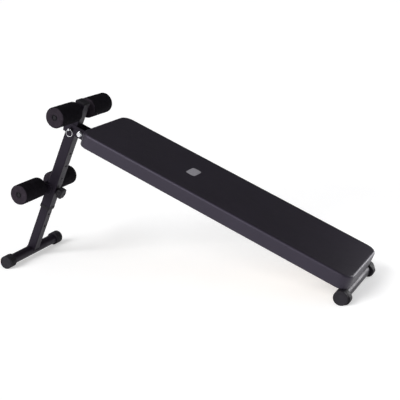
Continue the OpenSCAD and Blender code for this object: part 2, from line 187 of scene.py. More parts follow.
class Recipe:
    """A procedural material, wired in object coordinates, which are metres in the row frame."""

    def __init__(self, name, roughness, metallic=0.0, specular=0.5, tint=(1, 1, 1)):
        self.material = bpy.data.materials.new(name)
        self.material.use_nodes = True
        self.nodes = self.material.node_tree.nodes
        self.links = self.material.node_tree.links
        self.shader = self.nodes["Principled BSDF"]
        self.shader.inputs["Roughness"].default_value = roughness
        self.shader.inputs["Metallic"].default_value = metallic
        self.shader.inputs["Specular IOR Level"].default_value = specular
        self.shader.inputs["Specular Tint"].default_value = (*tint, 1)
        self.place = self.nodes.new("ShaderNodeTexCoord").outputs["Object"]

    def feed(self, node, socket, value):
        if isinstance(value, bpy.types.NodeSocket):
            self.links.new(value, node.inputs[socket])
        else:
            node.inputs[socket].default_value = value

    def stretched(self, scale):
        """Coordinates scaled by a different amount along each axis."""
        node = self.nodes.new("ShaderNodeMapping")
        self.links.new(self.place, node.inputs["Vector"])
        node.inputs["Scale"].default_value = scale
        return node.outputs[0]

    def noise(self, scale, detail=2.0, place=None):
        node = self.nodes.new("ShaderNodeTexNoise")
        self.links.new(place or self.place, node.inputs["Vector"])
        node.inputs["Scale"].default_value = scale
        node.inputs["Detail"].default_value = detail
        return node.outputs["Fac"]

    def cells(self, scale, feature="F1"):
        node = self.nodes.new("ShaderNodeTexVoronoi")
        node.feature = feature
        self.links.new(self.place, node.inputs["Vector"])
        node.inputs["Scale"].default_value = scale
        return node.outputs["Distance"]

    def math(self, operation, a, b=0.0):
        node = self.nodes.new("ShaderNodeMath")
        node.operation = operation
        self.feed(node, 0, a)
        self.feed(node, 1, b)
        return node.outputs[0]

    def ramp(self, value, stops):
        """Colours, or greys given as single numbers, at places from 0 to 1."""
        node = self.nodes.new("ShaderNodeValToRGB")
        elements = node.color_ramp.elements
        for i, (position, colour) in enumerate(stops):
            element = elements[i] if i < 2 else elements.new(position)
            element.position = position
            grey = isinstance(colour, (int, float))
            element.color = (colour, colour, colour, 1) if grey else (*colour, 1)
        self.links.new(value, node.inputs["Fac"])
        return node.outputs["Color"]

    def mix(self, share, a, b):
        node = self.nodes.new("ShaderNodeMix")
        node.data_type = "RGBA"
        self.feed(node, 0, share)
        for socket, colour in ((6, a), (7, b)):
            linked = isinstance(colour, bpy.types.NodeSocket)
            self.feed(node, socket, colour if linked else (*colour, 1))
        return node.outputs[2]

    def edges(self, radius):
        """1 on the sharp edges of a piece and 0 on its flat faces, with a soft limit."""
        bevel = self.nodes.new("ShaderNodeBevel")
        bevel.samples = 4
        bevel.inputs["Radius"].default_value = radius
        geometry = self.nodes.new("ShaderNodeNewGeometry")
        dot = self.nodes.new("ShaderNodeVectorMath")
        dot.operation = "DOT_PRODUCT"
        self.links.new(bevel.outputs[0], dot.inputs[0])
        self.links.new(geometry.outputs["Normal"], dot.inputs[1])
        return self.math("SUBTRACT", 1.0, dot.outputs["Value"])

    def soft_edges(self, radius):
        """Normal that rounds the sharp edges of a piece."""
        bevel = self.nodes.new("ShaderNodeBevel")
        bevel.samples = 4
        bevel.inputs["Radius"].default_value = radius
        return bevel.outputs[0]

    def colour(self, value):
        self.feed(self.shader, "Base Color", value)

    def roughness(self, value):
        self.feed(self.shader, "Roughness", value)

    def bump(self, height, distance, strength=1.0, normal=None):
        node = self.nodes.new("ShaderNodeBump")
        node.inputs["Strength"].default_value = strength
        node.inputs["Distance"].default_value = distance
        self.links.new(height, node.inputs["Height"])
        if normal:
            self.links.new(normal, node.inputs["Normal"])
        self.links.new(node.outputs[0], self.shader.inputs["Normal"])


def powder_coat():
    recipe = Recipe("powder_coat", roughness=0.5, specular=0.2, tint=(0.86, 0.78, 1.0))
    tone = recipe.noise(9.0, 3.0)
    base = recipe.ramp(tone, [(0.3, (0.0090, 0.0070, 0.0112)), (0.7, (0.0112, 0.0088, 0.0138))])
    worn = recipe.math("MULTIPLY", recipe.edges(0.0012), recipe.noise(160.0, 3.0))
    recipe.colour(recipe.mix(worn, base, (0.075, 0.068, 0.085)))
    recipe.roughness(recipe.ramp(recipe.noise(45.0, 4.0), [(0.3, 0.36), (0.7, 0.46)]))
    peel = recipe.math("ADD", recipe.noise(620.0, 1.0), recipe.noise(210.0, 1.0))
    recipe.bump(peel, 0.00006, 0.8, recipe.soft_edges(0.0008))
    return recipe.material


def zinc_plate():
    recipe = Recipe("zinc_plate", roughness=0.25, metallic=1.0)
    tone = recipe.noise(120.0, 3.0)
    recipe.colour(recipe.ramp(tone, [(0.3, (0.66, 0.67, 0.70)), (0.7, (0.80, 0.80, 0.82))]))
    recipe.roughness(recipe.ramp(recipe.noise(420.0, 3.0), [(0.3, 0.16), (0.75, 0.34)]))
    scratches = recipe.noise(1.0, 2.0, recipe.stretched((300.0, 2600.0, 300.0)))
    recipe.bump(scratches, 0.00003, 0.6, recipe.soft_edges(0.0003))
    return recipe.material


def vinyl():
    recipe = Recipe("pad_vinyl", roughness=0.45, specular=0.5, tint=(0.85, 0.78, 1.0))
    tone = recipe.noise(6.0, 3.0)
    base = recipe.ramp(tone, [(0.3, (0.0096, 0.0076, 0.0122)), (0.7, (0.0120, 0.0094, 0.0154))])
    recipe.colour(base)
    recipe.roughness(recipe.ramp(recipe.noise(30.0, 4.0), [(0.3, 0.43), (0.7, 0.47)]))
    creases = recipe.cells(560.0, "DISTANCE_TO_EDGE")
    grain = recipe.ramp(creases, [(0.0, 0.0), (0.22, 1.0)])
    broken = recipe.math("ADD", grain, recipe.noise(900.0, 2.0))
    recipe.bump(broken, 0.00012, 0.7)
    return recipe.material


def roller_foam(name, low, high, pore):
    recipe = Recipe(name, roughness=0.95, specular=0.05)
    tone = recipe.noise(60.0, 4.0)
    base = recipe.ramp(tone, [(0.3, low), (0.7, high)])
    # Pore pits: one mask dents them in the bump and colours them darker, as painted shade inside the pits
    pore_pits_and_shade = recipe.ramp(recipe.cells(pore), [(0.08, 0.0), (0.42, 1.0)])
    recipe.colour(recipe.mix(pore_pits_and_shade, tuple(0.45 * c for c in low), base))
    height = recipe.math("ADD", pore_pits_and_shade, recipe.noise(240.0, 4.0))
    recipe.bump(height, 0.0004, 0.8)
    return recipe.material


def core_foam():
    recipe = Recipe("core_foam", roughness=0.95, specular=0.15)
    tone = recipe.noise(80.0, 5.0)
    recipe.colour(recipe.ramp(tone, [(0.3, (0.66, 0.58, 0.38)), (0.7, (0.78, 0.72, 0.54))]))
    recipe.bump(recipe.cells(900.0), 0.0004, 0.9)
    return recipe.material


def rubber():
    recipe = Recipe("foot_rubber", roughness=0.62, specular=0.2)
    tone = recipe.noise(40.0, 4.0)
    base = recipe.ramp(tone, [(0.3, (0.0105, 0.0092, 0.0128)), (0.7, (0.0150, 0.0132, 0.0182))])
    scuffs = recipe.ramp(recipe.noise(130.0, 6.0), [(0.60, 0.0), (0.78, 0.35)])
    recipe.colour(recipe.mix(scuffs, base, (0.055, 0.053, 0.058)))
    recipe.roughness(recipe.ramp(recipe.noise(90.0, 3.0), [(0.3, 0.52), (0.7, 0.72)]))
    recipe.bump(recipe.noise(1100.0, 3.0), 0.00008, 0.7, recipe.soft_edges(0.0005))
    return recipe.material


def black_plastic():
    recipe = Recipe("black_plastic", roughness=0.5, specular=0.18)
    tone = recipe.noise(50.0, 3.0)
    base = recipe.ramp(tone, [(0.3, (0.0075, 0.0066, 0.0092)), (0.7, (0.0105, 0.0092, 0.0128))])
    recipe.colour(base)
    recipe.roughness(recipe.ramp(recipe.noise(140.0, 3.0), [(0.3, 0.44), (0.7, 0.58)]))
    recipe.bump(recipe.cells(1300.0), 0.00007, 0.6, recipe.soft_edges(0.0006))
    return recipe.material


def plywood():
    recipe = Recipe("plywood", roughness=0.7, specular=0.25)
    grain = recipe.noise(1.0, 6.0, recipe.stretched((9.0, 240.0, 60.0)))
    streaks = recipe.ramp(grain, [
        (0.3, (0.33, 0.20, 0.10)), (0.52, (0.52, 0.36, 0.20)), (0.75, (0.62, 0.46, 0.28)),
    ])
    knots = recipe.ramp(recipe.cells(5.0), [(0.03, 1.0), (0.10, 0.0)])
    recipe.colour(recipe.mix(knots, streaks, (0.20, 0.11, 0.05)))
    recipe.roughness(recipe.ramp(grain, [(0.3, 0.78), (0.7, 0.60)]))
    recipe.bump(grain, 0.0003, 0.6)
    return recipe.material


def pale_print():
    recipe = Recipe("pale_print", roughness=0.55, specular=0.4)
    tone = recipe.noise(300.0, 4.0)
    recipe.colour(recipe.ramp(tone, [(0.3, (0.24, 0.235, 0.26)), (0.6, (0.32, 0.31, 0.34))]))
    recipe.bump(recipe.cells(560.0, "DISTANCE_TO_EDGE"), 0.00008, 0.5)
    return recipe.material


# ---------------------------------------------------------------- mesh helpers

def make_piece(name, verts, faces, matrix, material, smooth=True):
    """Mesh object with its points given in a local frame, its faces turned outwards."""
    mesh = bpy.data.meshes.new(name)
    mesh.from_pydata([tuple(v) for v in verts], [], faces)
    mesh.transform(matrix)
    shell = bmesh.new()
    shell.from_mesh(mesh)
    bmesh.ops.recalc_face_normals(shell, faces=shell.faces)
    shell.to_mesh(mesh)
    shell.free()
    mesh.polygons.foreach_set("use_smooth", [smooth] * len(mesh.polygons))
    mesh.materials.append(material)
    piece = bpy.data.objects.new(name, mesh)
    bpy.context.scene.collection.objects.link(piece)
    return piece


def join(name, parts):
    """One object made of several."""
    bpy.ops.object.select_all(action="DESELECT")
    for part in parts:
        part.select_set(True)
    bpy.context.view_layer.objects.active = parts[0]
    if len(parts) > 1:
        bpy.ops.object.join()
    parts[0].name = parts[0].data.name = name
    return parts[0]


def hard_edges(piece, degrees=40):
    """Smooth shading that stays crisp where faces meet at more than the given angle."""
    bpy.ops.object.select_all(action="DESELECT")
    piece.select_set(True)
    bpy.context.view_layer.objects.active = piece
    bpy.ops.object.shade_smooth_by_angle(angle=math.radians(degrees))


def rounded(corners, steps=4):
    """Closed outline through (x, y, radius) corners, with an arc at each corner."""
    outline = []
    for i, (x, y, radius) in enumerate(corners):
        here = Vector((x, y))
        if radius == 0:
            outline.append(here)
            continue
        before = (Vector(corners[i - 1][:2]) - here).normalized()
        after = (Vector(corners[(i + 1) % len(corners)][:2]) - here).normalized()
        half = before.angle(after) / 2
        middle = here + (before + after).normalized() * (radius / math.sin(half))
        start = here + before * (radius / math.tan(half)) - middle
        end = here + after * (radius / math.tan(half)) - middle
        first = math.atan2(start.y, start.x)
        turn = (math.atan2(end.y, end.x) - first + math.pi) % (2 * math.pi) - math.pi
        for k in range(steps + 1):
            angle = first + turn * k / steps
            outline.append(middle + radius * Vector((math.cos(angle), math.sin(angle))))
    return outline


def oblong(half_x, half_y, radius, steps):
    """Closed outline of a rectangle with rounded corners."""
    return rounded([(half_x, half_y, radius), (-half_x, half_y, radius),
                    (-half_x, -half_y, radius), (half_x, -half_y, radius)], steps)


def lathe(outline, segments, shape=None):
    """Points and faces of a closed outline of (r, z) turned about z.
    shape(r, z, angle) may return another r and z; points with r = 0 become one pole."""
    verts, rings = [], []
    for r, z in outline:
        if r < 1e-7:
            rings.append([len(verts)] * segments)
            verts.append(Vector((0, 0, z)))
            continue
        rings.append(list(range(len(verts), len(verts) + segments)))
        for k in range(segments):
            angle = 2 * math.pi * k / segments
            rr, zz = shape(r, z, angle) if shape else (r, z)
            verts.append(Vector((rr * math.cos(angle), rr * math.sin(angle), zz)))
    faces = []
    for a, b in zip(rings, rings[1:] + rings[:1]):
        for k in range(segments):
            n = (k + 1) % segments
            corners = list(dict.fromkeys((a[k], a[n], b[n], b[k])))
            if len(corners) > 2:
                faces.append(corners)
    return verts, faces


def sweep(path, radius_at, sides=8, closed=False):
    """Points and faces of a tube along a path, with its radius given at each point."""
    count = len(path)
    verts, faces = [], []
    normal = None
    for i, point in enumerate(path):
        before = path[i - 1] if closed or i else path[0]
        after = path[(i + 1) % count] if closed or i < count - 1 else path[-1]
        tangent = (after - before).normalized()
        if normal is None:
            normal = tangent.orthogonal().normalized()
        normal = (normal - tangent * normal.dot(tangent)).normalized()
        other = tangent.cross(normal)
        for k in range(sides):
            angle = 2 * math.pi * k / sides
            around = normal * math.cos(angle) + other * math.sin(angle)
            verts.append(point + radius_at(i) * around)
    for i in range(count if closed else count - 1):
        n = (i + 1) % count
        for k in range(sides):
            m = (k + 1) % sides
            faces.append([i * sides + k, i * sides + m, n * sides + m, n * sides + k])
    if not closed:
        faces.append(list(range(sides)))
        faces.append([(count - 1) * sides + k for k in range(sides)])
    return verts, faces


def resample(path, step, closed=False):
    """The same path with points about one step apart."""
    ends = path + path[:1] if closed else path
    result = []
    for a, b in zip(ends, ends[1:]):
        pieces = max(1, round((b - a).length / step))
        result += [a.lerp(b, k / pieces) for k in range(pieces)]
    if not closed:
        result.append(path[-1])
    return result


def arc(centre_point, radius, first, last, steps, axes=(0, 2)):
    """Points of an arc in a plane of the local frame, its angles in degrees."""
    points = []
    for k in range(steps + 1):
        angle = math.radians(first + (last - first) * k / steps)
        point = Vector(centre_point)
        point[axes[0]] += radius * math.cos(angle)
        point[axes[1]] += radius * math.sin(angle)
        points.append(point)
    return points


def wavy(point, size, amount):
    """Smooth fixed unevenness, the same at every run."""
    return noise.noise(point / size) * amount


# ---------------------------------------------------------------- pad

VINYL_T = 1.3 * MM
PAD_EDGE = 8 * MM
PAD_UNDER = 2.5 * MM
PAD_CELL = 8 * MM
HEM = 28 * MM
PAD_CORNER = 38 * MM
PAD_LOW, PAD_HIGH = span("pad_cover", BEAM)


def plan_point(u, v, inset):
    """Point of the pad's rounded outline, moved in by inset, for a place on a square's edge."""
    half_x = (PAD_HIGH.x - PAD_LOW.x) / 2 - inset
    half_y = (PAD_HIGH.y - PAD_LOW.y) / 2 - inset
    radius = min(max(PAD_CORNER - inset, 0.0), half_x, half_y)
    long_side = abs(v) >= abs(u)
    straight = (half_x if long_side else half_y) - radius
    share = u if long_side else v
    along = abs(share) * (straight + radius * math.pi / 4)
    turn = max(along - straight, 0.0) / radius if radius > 0 else 0.0
    first = min(along, straight) + radius * math.sin(turn)
    second = (half_y if long_side else half_x) - radius + radius * math.cos(turn)
    first = math.copysign(first, share)
    second = math.copysign(second, v if long_side else u)
    x, y = (first, second) if long_side else (second, first)
    return Vector(((PAD_LOW.x + PAD_HIGH.x) / 2 + x, y, 0))


def pad_profile(top):
    """Rings outside the flat top as (inset, height): top edge, side, under edge and hem."""
    rings = []
    for k in range(1, 6):
        angle = math.radians(90 - 90 * k / 5)
        rings.append((PAD_EDGE * (1 - math.cos(angle)), top - PAD_EDGE * (1 - math.sin(angle))))
    bottom = PAD_LOW.z - VINYL_T
    side = top - PAD_EDGE - bottom - PAD_UNDER
    rings += [(0.0, top - PAD_EDGE - side * k / 5) for k in range(1, 5)]
    for k in range(4):
        angle = math.radians(90 * k / 3)
        inset = PAD_UNDER * (1 - math.cos(angle))
        rings.append((inset, bottom + PAD_UNDER * (1 - math.sin(angle))))
    rings += [(PAD_UNDER + (HEM - PAD_UNDER) * k / 3, bottom) for k in range(1, 4)]
    return rings


def pad_grid():
    """Points and faces of the cover, a grid over the top and rings from its edge to the hem,
    and the points of the hem's edge."""
    length, width = PAD_HIGH.x - PAD_LOW.x, PAD_HIGH.y - PAD_LOW.y
    nx, ny = 2 * round(length / PAD_CELL / 2), 2 * round(width / PAD_CELL / 2)
    step = (width / 2 - PAD_EDGE) / (ny / 2)
    top = PAD_HIGH.z
    verts, index, edge = [], {}, {}
    for i in range(nx + 1):
        for j in range(ny + 1):
            ring = min(i, nx - i, j, ny - j)
            u = (i - nx / 2) / (nx / 2 - ring)
            v = (j - ny / 2) / (ny / 2 - ring) if ring < ny / 2 else 0.0
            point = plan_point(u, v, PAD_EDGE + ring * step)
            index[i, j] = len(verts)
            edge[i, j] = (u, v)
            verts.append(Vector((point.x, point.y, top)))
    faces = [[index[i, j], index[i + 1, j], index[i + 1, j + 1], index[i, j + 1]]
             for i in range(nx) for j in range(ny)]
    loop = [(i, 0) for i in range(nx)] + [(nx, j) for j in range(ny)]
    loop += [(i, ny) for i in range(nx, 0, -1)] + [(0, j) for j in range(ny, 0, -1)]
    inner = [index[p] for p in loop]
    for inset, height in pad_profile(top):
        outer = []
        for p in loop:
            point = plan_point(*edge[p], inset)
            outer.append(len(verts))
            verts.append(Vector((point.x, point.y, height)))
        for k in range(len(loop)):
            n = (k + 1) % len(loop)
            faces.append([inner[k], inner[n], outer[n], outer[k]])
        inner = outer
    return verts, faces, inner


def inflate(piece, held_below, cap):
    """Swells a closed cover by cloth simulation; no point moves more than cap."""
    rest = [v.co.copy() for v in piece.data.vertices]
    group = piece.vertex_groups.new(name="held")
    for v in piece.data.vertices:
        group.add([v.index], 1.0 if v.co.z < held_below else 0.0, "REPLACE")
    cloth = piece.modifiers.new("cloth", "CLOTH")
    settings = cloth.settings
    settings.quality = 6
    settings.mass = 0.4
    settings.tension_stiffness = settings.compression_stiffness = 40
    settings.shear_stiffness = 20
    settings.bending_stiffness = 2.5
    settings.use_pressure = True
    settings.uniform_pressure_force = 4.0
    settings.vertex_group_mass = "held"
    settings.effector_weights.gravity = 0.0
    cloth.collision_settings.use_collision = False
    scene = bpy.context.scene
    cloth.point_cache.frame_start, cloth.point_cache.frame_end = 1, 20
    for number in range(1, 21):
        scene.frame_set(number)
    graph = bpy.context.evaluated_depsgraph_get()
    moved = [v.co.copy() for v in piece.evaluated_get(graph).data.vertices]
    piece.modifiers.remove(cloth)
    piece.vertex_groups.remove(group)
    scene.frame_set(1)
    for v, start, end in zip(piece.data.vertices, rest, moved):
        shift = end - start
        v.co = start + shift * (cap / (cap + shift.length))


def make_pad():
    verts, faces, hem_edge = pad_grid()
    crown = 3.5 * MM
    mesh = bpy.data.meshes.new("pad")
    mesh.from_pydata(verts, [], faces + [hem_edge])
    piece = bpy.data.objects.new("pad", mesh)
    bpy.context.scene.collection.objects.link(piece)
    shell = bmesh.new()
    shell.from_mesh(mesh)
    bmesh.ops.recalc_face_normals(shell, faces=shell.faces)
    shell.to_mesh(mesh)
    shell.free()
    inflate(piece, PAD_LOW.z + 2 * MM, crown)
    shell = bmesh.new()
    shell.from_mesh(mesh)
    bmesh.ops.delete(shell, geom=[f for f in shell.faces if len(f.verts) > 4], context="FACES_ONLY")
    gather_corners(shell)
    shell.to_mesh(mesh)
    shell.free()
    mesh.transform(BEAM)
    mesh.polygons.foreach_set("use_smooth", [True] * len(mesh.polygons))
    mesh.materials.append(MATERIALS["vinyl"])
    skin = piece.modifiers.new("thickness", "SOLIDIFY")
    skin.thickness = VINYL_T
    skin.offset = -1
    smooth = piece.modifiers.new("smooth", "SUBSURF")
    smooth.levels = smooth.render_levels = 1
    finish_piece(piece, "bench", "pad_vinyl", "pad_cover", "pad_foam")
    return piece


def gather_corners(shell):
    """Small pleats where the cover is drawn round the four corners and under the board."""
    pleats = 9
    depth = 0.9 * MM
    middle_x = (PAD_LOW.x + PAD_HIGH.x) / 2
    corner_x = (PAD_HIGH.x - PAD_LOW.x) / 2 - PAD_CORNER
    corner_y = PAD_HIGH.y - PAD_CORNER
    for v in shell.verts:
        out = Vector((abs(v.co.x - middle_x) - corner_x, abs(v.co.y) - corner_y))
        if min(out) <= 0 or v.co.z > PAD_HIGH.z - PAD_EDGE:
            continue
        angle = math.atan2(out.y, out.x)
        drop = PAD_HIGH.z - PAD_EDGE - v.co.z
        fade = min(1.0, drop / (PAD_HIGH.z - PAD_LOW.z - PAD_EDGE))
        pleat = (math.cos(2 * pleats * angle) - 1) / 2
        away = Vector((math.copysign(out.x, v.co.x - middle_x), math.copysign(out.y, v.co.y), 0))
        v.co += away.normalized() * (depth * fade ** 2 * math.sin(2 * angle) * pleat)


# ---------------------------------------------------------------- finishing helpers

def finish_piece(piece, body, slot, *nodes):
    """Puts a new piece on its body and hides the CAD nodes that it stands for; its slot is not used."""
    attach(piece, body)
    if nodes:
        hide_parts(*nodes)


MATERIALS = {
    "steel": powder_coat(),
    "zinc": zinc_plate(),
    "vinyl": vinyl(),
    "roller_skin": roller_foam(
        "roller_skin", (0.0052, 0.0044, 0.0062), (0.0092, 0.0078, 0.0108), 900.0),
    "roller_cut": roller_foam(
        "roller_cut", (0.0225, 0.0178, 0.0240), (0.0335, 0.0270, 0.0352), 750.0),
    "core": core_foam(),
    "rubber": rubber(),
    "plastic": black_plastic(),
    "plywood": plywood(),
    "print": pale_print(),
}
# Material of the CAD nodes in each slot of the record
CAD_MATERIALS = {
    "frame_steel": "steel", "zinc_steel": "zinc", "pad_vinyl": "vinyl", "pad_core_foam": "core",
    "plywood": "plywood", "roller_foam": "roller_skin", "foot_rubber": "rubber",
    "black_plastic": "plastic",
}


def dress_cad_nodes():
    """Gives every CAD node the procedural material of its slot."""
    for row in frame["record"]["subparts"]:
        piece = frame["nodes"][row["node"]]
        piece.data.materials.clear()
        piece.data.materials.append(MATERIALS[CAD_MATERIALS[row["material_slot"]]])
        for polygon in piece.data.polygons:
            polygon.material_index = 0


# ---------------------------------------------------------------- foam rollers

def make_roller(node, body):
    """Foam tube with soft edges, its ends cut a little hollow, its skin slightly uneven."""
    low, high = span(node, LEG)
    axle_low, axle_high = span("upper_axle" if "upper" in node else "lower_axle", LEG)
    radius, length = (high.z - low.z) / 2, high.y - low.y
    bore = (axle_high.z - axle_low.z) / 2 + 0.1 * MM
    edge, dish, half = 6 * MM, 1.2 * MM, length / 2
    outline = roller_outline(radius, half, bore, edge, dish)
    middle = (low + high) / 2
    matrix = sideways(LEG, middle, 1)

    def uneven(r, z, angle):
        if r < bore + 2 * MM:
            return r, z
        place = Vector((math.cos(angle) * r, math.sin(angle) * r, z)) + middle * 7
        rise = wavy(place, 30 * MM, 0.5 * MM) - 0.3 * MM
        return r + rise, z + wavy(place * 1.3, 22 * MM, 0.3 * MM)

    verts, faces = lathe(outline, 96, uneven)
    piece = make_piece(node + "_foam", verts, faces, matrix, MATERIALS["roller_skin"])
    piece.data.materials.append(MATERIALS["roller_cut"])
    inverse = matrix.inverted()
    for polygon in piece.data.polygons:
        at = inverse @ polygon.center
        on_end = abs(at.z) > half - 2.2 * MM and math.hypot(at.x, at.y) < radius - 1.6 * MM
        polygon.material_index = int(on_end)
    finish_piece(piece, body, "roller_foam", node)


def roller_outline(radius, half, bore, edge, dish):
    """Outline (r, z) of a roller: bore, hollow end, rounded edge and side, then their mirror."""
    chamfer = 0.5 * MM
    quarter = [(bore, half - dish - 14 * MM), (bore, half - dish - 1 * MM),
               (bore + chamfer, half - dish)]
    face = radius - edge - bore - chamfer
    for k in range(1, 9):
        share = k / 8
        ring = 0.25 * MM * math.sin(share * math.pi * 6)
        sunk = dish * (1 - share) ** 2 - ring * (1 - share)
        quarter.append((bore + chamfer + face * share, half - sunk))
    for k in range(1, 9):
        angle = math.radians(90 - 90 * k / 8)
        quarter.append((radius - edge * (1 - math.cos(angle)), half - edge * (1 - math.sin(angle))))
    side = [(radius, (half - edge) * (1 - k / 7)) for k in range(1, 7)]
    upper = quarter + side
    return upper + [(radius, 0.0)] + [(r, -z) for r, z in reversed(upper)] + [(bore, 0.0)]


# ---------------------------------------------------------------- foot caps

# Length of the plain disc at the closed end of a cap
CAP_DISC = 9 * MM


def cap_outline(radius, length, bore, ribbed):
    """Outline (r, z) of a rubber cup from its open end at z = 0 to the shallow dish in its end."""
    valley, wall = radius - 1.8 * MM, length - CAP_DISC
    corners = [(bore, 0, 0.4 * MM)]
    if ribbed:
        pitch, rib = 7 * MM, 3.5 * MM
        for k in range(4):
            start = k * pitch
            if k:
                corners += [(valley, start, 0.7 * MM), (radius, start + 0.2 * MM, 0.9 * MM)]
            else:
                corners.append((radius, start, 0.9 * MM))
            corners += [(radius, start + rib - 0.2 * MM, 0.9 * MM), (valley, start + rib, 0.7 * MM)]
        corners += [(valley, wall - 0.4 * MM, 0.7 * MM), (radius, wall, 0.9 * MM)]
    else:
        corners += [(radius, 0, 2 * MM), (radius, wall, 1.4 * MM),
                    (radius - 1 * MM, wall, 0.3 * MM), (radius, wall + 1 * MM, 0.6 * MM)]
    inner = length - 4 * MM
    corners += [(radius, length, 2.2 * MM), (radius - 4.5 * MM, length, 0.5 * MM),
                (radius - 5.2 * MM, length - 0.8 * MM, 0.5 * MM), (0, length - 0.6 * MM, 0),
                (0, inner, 0), (bore, inner, 0.6 * MM)]
    return rounded(corners, 3)


def make_foot_cap(node, body, matrix, side):
    """Rubber cup: ribbed on the front foot, with a flat heel behind the tube on the rear foot."""
    low, high = span(node, matrix)
    radius, length = (high.z - low.z) / 2, high.y - low.y
    tube_low, tube_high = span(node.split("_foot")[0] + "_foot_tube", matrix)
    bore = (tube_high.z - tube_low.z) / 2 + 0.05 * MM
    wall = length - CAP_DISC
    middle = (tube_low + tube_high) / 2
    heel_r = radius - 5 * MM
    shift = Vector((high.x - middle.x - heel_r, heel_r - radius))

    def heeled(r, z, angle):
        if r < bore + 1 * MM or z > wall + 1e-6:
            return r, z
        towards = Vector((math.cos(angle), -side * math.sin(angle)))
        reach = radius
        for k in range(21):
            away, disc = shift * (k / 20), radius + (heel_r - radius) * k / 20
            along = away.dot(towards)
            half_chord = math.sqrt(max(disc ** 2 - away.length_squared + along ** 2, 0.0))
            reach = max(reach, along + half_chord)
        return r + (reach - radius) * (r - bore) / (radius - bore), z

    ribbed = "front" in node
    start = Vector((middle.x, low.y if side > 0 else high.y, middle.z))
    outline = cap_outline(radius, length, bore, ribbed)
    verts, faces = lathe(outline, 96, None if ribbed else heeled)
    placed = sideways(matrix, start, side)
    piece = make_piece(node + "_rubber", verts, faces, placed, MATERIALS["rubber"])
    finish_piece(piece, body, "foot_rubber", node)


# ---------------------------------------------------------------- knob, bolt, nut and ring

def make_knob():
    """Seven-lobed knob with filleted lobes, a dished face and the cavity that covers the barrel."""
    low, high = span("knob_head", KNOB)
    lobes, depth, core = 7, 3.2 * MM, 11 * MM
    radius = max(-low.x, high.x, -low.y, high.y)
    back, face = low.z, high.z
    cavity, floor = 8.7 * MM, back + 13.5 * MM
    stem, stem_end = 3.05 * MM, face - 3.4 * MM
    corners = [
        (cavity, back, 0.5 * MM), (radius, back, 2.0 * MM), (radius, face - 3 * MM, 2.5 * MM),
        (radius - 5.5 * MM, face, 3.5 * MM), (8 * MM, face, 0.8 * MM),
        (7.2 * MM, face - 1 * MM, 0.6 * MM), (0, face - 0.8 * MM, 0), (0, stem_end, 0),
        (stem, stem_end, 0), (stem, floor, 0.2 * MM), (cavity, floor, 0.6 * MM),
    ]

    def lobed(r, z, angle):
        wave = 0.5 - 0.5 * math.cos(lobes * angle)
        share = min(1.0, max(0.0, (r - core) / (radius - core)))
        return r - depth * wave ** 1.6 * share ** 1.5, z

    verts, faces = lathe(rounded(corners, 5), 168, lobed)
    piece = make_piece("knob_grip", verts, faces, KNOB, MATERIALS["plastic"])
    finish_piece(piece, "knob", "black_plastic", "knob_head")


# Width over the flats of the pivot bolt's head and of its nut
ACROSS_FLATS = 17 * MM


def hexed(chamfer, split, under):
    """Shape for lathe that presses points at r = ACROSS_FLATS to a hexagon. Its corners are
    chamfered above z = split, and by the share under below it."""
    def shape(r, z, angle):
        if r < ACROSS_FLATS:
            return r, z
        off = (angle + math.pi / 6) % (math.pi / 3) - math.pi / 6
        edge = ACROSS_FLATS / 2 / math.cos(off)
        drop = (edge - ACROSS_FLATS / 2 + chamfer) * math.tan(math.radians(30))
        return edge, z - drop if z > split else z + under * drop

    return shape


def make_bolt():
    """Hex bolt with a chamfered head, a washer face and a shank."""
    low, high = span("pivot_bolt", BEAM)
    washer_low, _ = span("pivot_washers", BEAM)
    shank, half_flats = 5 * MM, ACROSS_FLATS / 2
    seat = washer_low.y
    head = seat - low.y
    dish = head - 0.25 * MM
    start = Vector(((low.x + high.x) / 2, seat, (low.z + high.z) / 2))
    tip = seat - high.y
    outline = [
        (0, tip), (shank - 0.8 * MM, tip), (shank, tip + 0.8 * MM), (shank, 0.0),
        (half_flats - 0.3 * MM, 0.0), (half_flats - 0.3 * MM, 0.4 * MM), (ACROSS_FLATS, 0.4 * MM),
        (ACROSS_FLATS, head), (half_flats - 0.6 * MM, head), (half_flats - 1.6 * MM, dish),
        (0, dish),
    ]
    verts, faces = lathe(outline, 72, hexed(0.35 * MM, head / 2, 0.3))
    piece = make_piece("pivot_bolt_hex", verts, faces, sideways(BEAM, start, -1), MATERIALS["zinc"])
    hard_edges(piece, 30)
    finish_piece(piece, "bench", "zinc_steel", "pivot_bolt")


def make_nut():
    """Locking nut: chamfered hexagon with a round collar, and the thread hole."""
    low, high = span("pivot_nut", BEAM)
    bore = 5.05 * MM
    length = high.y - low.y
    start = Vector(((low.x + high.x) / 2, low.y, (low.z + high.z) / 2))
    hexagon_end, collar = length - 2.2 * MM, ACROSS_FLATS / 2 - 0.9 * MM
    outline = [
        (bore + 0.6 * MM, 0.0), (ACROSS_FLATS, 0.0), (ACROSS_FLATS, hexagon_end),
        (collar, hexagon_end), (collar, length - 0.8 * MM), (collar - 0.8 * MM, length),
        (bore + 0.5 * MM, length), (bore, length - 0.5 * MM), (bore, 0.5 * MM),
    ]
    verts, faces = lathe(outline, 72, hexed(0.3 * MM, hexagon_end / 2, 1.0))
    piece = make_piece("pivot_lock_nut", verts, faces, sideways(BEAM, start, 1), MATERIALS["zinc"])
    hard_edges(piece, 30)
    finish_piece(piece, "bench", "zinc_steel", "pivot_nut")


def make_ring():
    """Wire pull ring, its two ends butted together at the bottom."""
    low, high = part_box("lock_pin_ring")
    wire = (high.y - low.y) / 2
    radius = (high.x - low.x) / 2 - wire
    middle = (low + high) / 2
    steps = 120
    path = arc(middle, radius, -88.5, 268.5, steps)
    verts, faces = sweep(path, lambda i: wire * (0.8 if i in (0, steps) else 1.0), 16)
    piece = make_piece("pull_ring_wire", verts, faces, Matrix.Identity(4), MATERIALS["zinc"])
    finish_piece(piece, "pull_ring", "zinc_steel", "lock_pin_ring")


